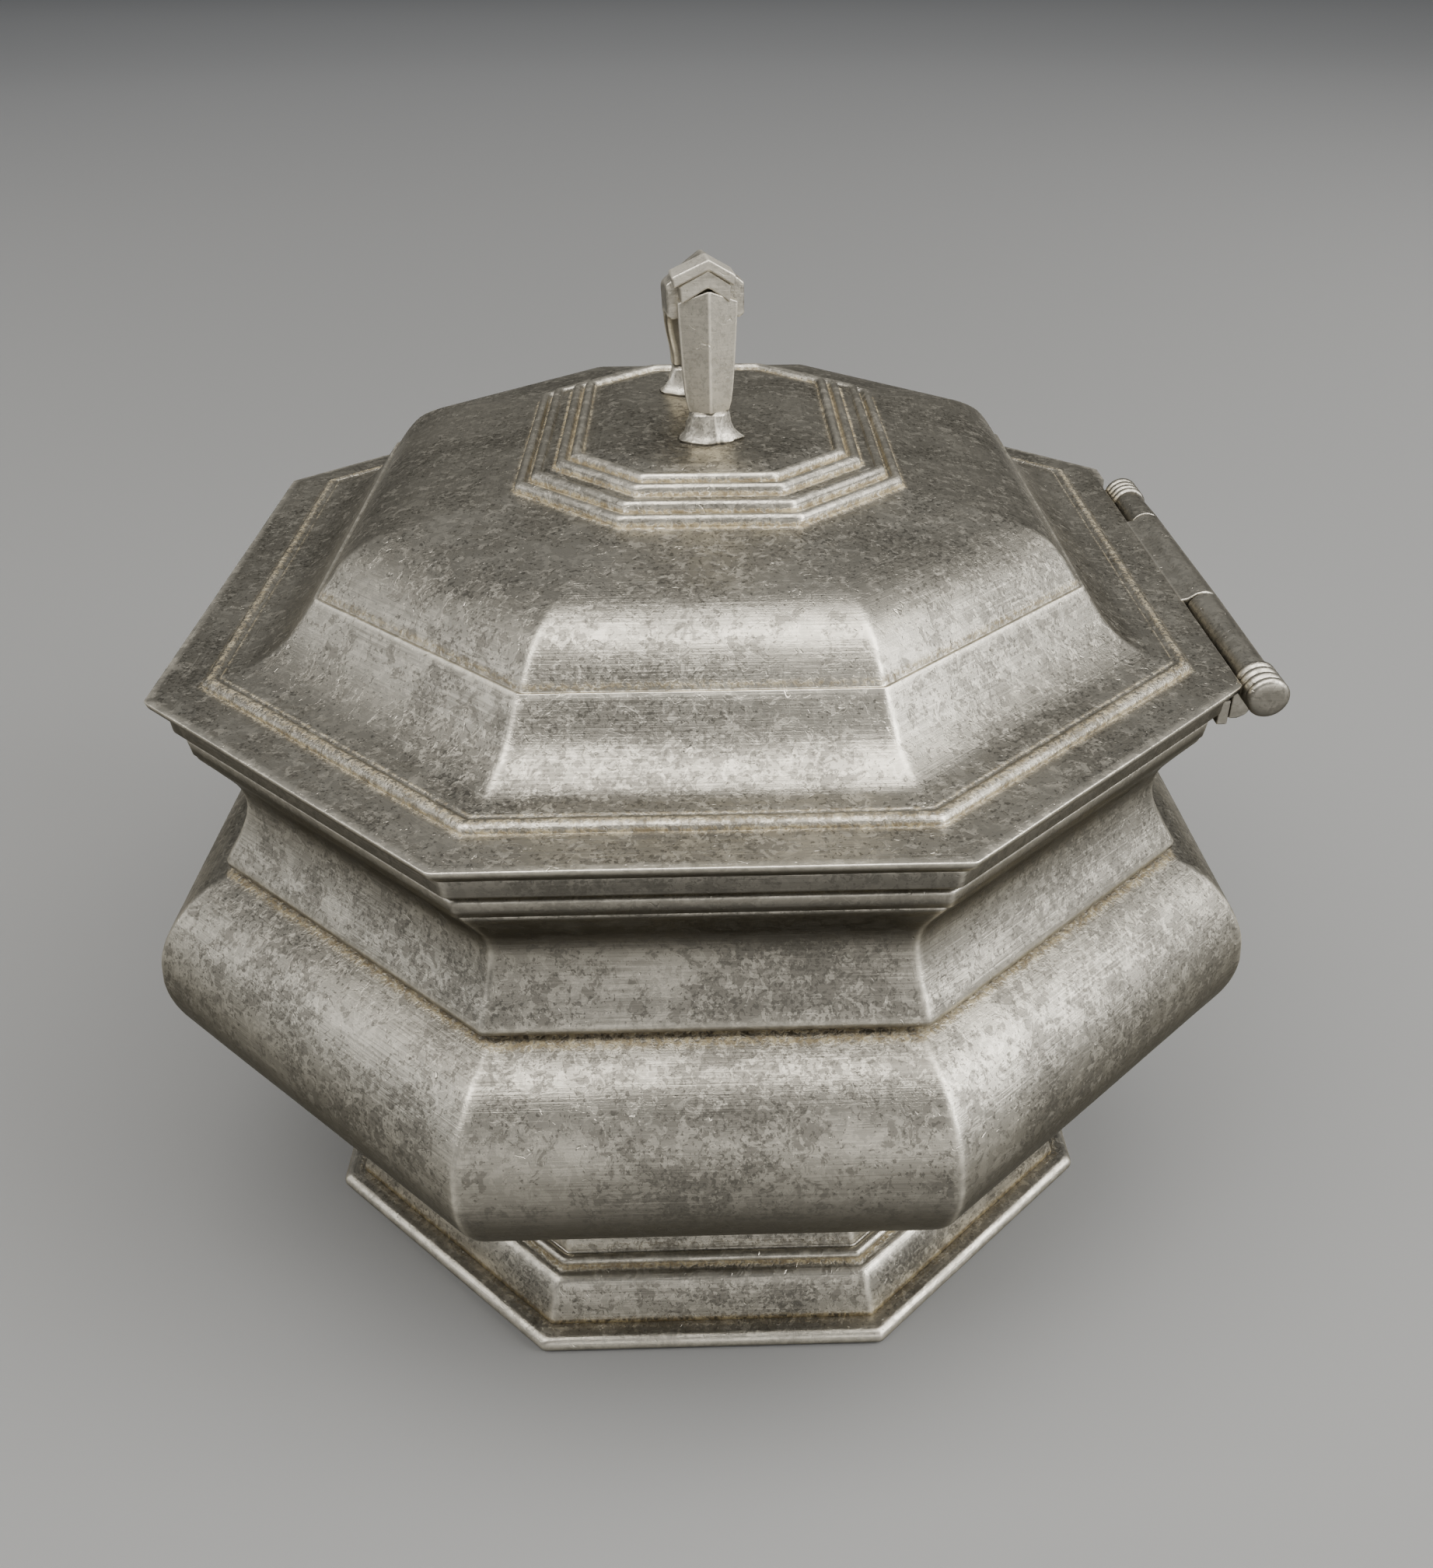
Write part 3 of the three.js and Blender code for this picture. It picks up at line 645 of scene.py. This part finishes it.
# ---- Studio -------------------------------------------------------------------------------------
g = Graph("studio_floor")
place = g.add("ShaderNodeTexCoord").node.outputs["Object"]
away = g.add("ShaderNodeVectorMath", {0: place}, operation="LENGTH").node.outputs["Value"]
# The floor is painted darker round the bowl, a painted shade that keeps it from lighting the bowl from below.
tone = g.mix(g.span(away, 0.15, 1.6), (0.28, 0.28, 0.275, 1), (0.8, 0.8, 0.79, 1))
shader = g.add("ShaderNodeBsdfPrincipled", {"Base Color": tone, "Roughness": 0.8})
g.add("ShaderNodeOutputMaterial", {"Surface": shader})
FLOOR = 4
sheet = bpy.data.meshes.new("floor")
sheet.from_pydata([(-FLOOR, -FLOOR, 0), (FLOOR, -FLOOR, 0), (FLOOR, FLOOR, 0), (-FLOOR, FLOOR, 0)],
                  [], [(0, 1, 2, 3)])
sheet.materials.append(g.material)
floor = bpy.data.objects.new("floor", sheet)
bpy.context.collection.objects.link(floor)


LIT_POINT = Vector((0, 0, 0.06))
WARM_WHITE = (1.0, 0.98, 0.95)


def softbox(name, at, size, watts, colour=(1, 1, 1)):
    """A soft light that looks at the bowl and isn't seen itself. Metres and watts."""
    light = bpy.data.lights.new(name, "AREA")
    light.shape = "RECTANGLE"
    light.size, light.size_y = size
    light.energy = watts
    light.color = colour
    lamp = bpy.data.objects.new(name, light)
    lamp.location = at
    lamp.visible_camera = False
    lamp.rotation_euler = (LIT_POINT - Vector(at)).to_track_quat("-Z", "Y").to_euler()
    bpy.context.collection.objects.link(lamp)


softbox("overhead", (0.02, -0.15, 0.75), (1.6, 0.5), 12.2, WARM_WHITE)
softbox("front", (0.25, -0.75, 0.2), (0.9, 0.2), 1.1, WARM_WHITE)
softbox("left", (-0.85, -0.15, 0.35), (0.45, 0.45), 0.9)
softbox("right", (0.8, -0.3, 0.5), (0.55, 0.5), 6.0)
softbox("back", (0, 2.4, 1.5), (3, 1.4), 2.5)
world = bpy.data.worlds.new("studio")
world.use_nodes = True
sky = world.node_tree.nodes["Background"].inputs
sky["Color"].default_value = (0.75, 0.77, 0.8, 1)
sky["Strength"].default_value = 0.16
bpy.context.scene.world = world

# ---- Camera -------------------------------------------------------------------------------------
# The photo's viewpoint, worked out from how its octagons foreshorten. Metres and degrees.
CAMERA_AT = (0.00041, -0.17177, 0.15889)
PAN, LOOKS_DOWN, ROLL = -1.355, 31.186, -0.34
camera = bpy.data.objects.new("camera", bpy.data.cameras.new("camera"))
camera.data.lens = 32.13
camera.data.shift_x, camera.data.shift_y = -0.0108, -0.0243
camera.data.clip_start = 0.01
turn = Matrix.Rotation(math.radians(PAN), 4, "Z")
turn = turn @ Matrix.Rotation(math.radians(90 - LOOKS_DOWN), 4, "X")
turn = turn @ Matrix.Rotation(math.radians(ROLL), 4, "Z")
camera.matrix_world = Matrix.Translation(CAMERA_AT) @ turn
bpy.context.collection.objects.link(camera)
bpy.context.scene.camera = camera
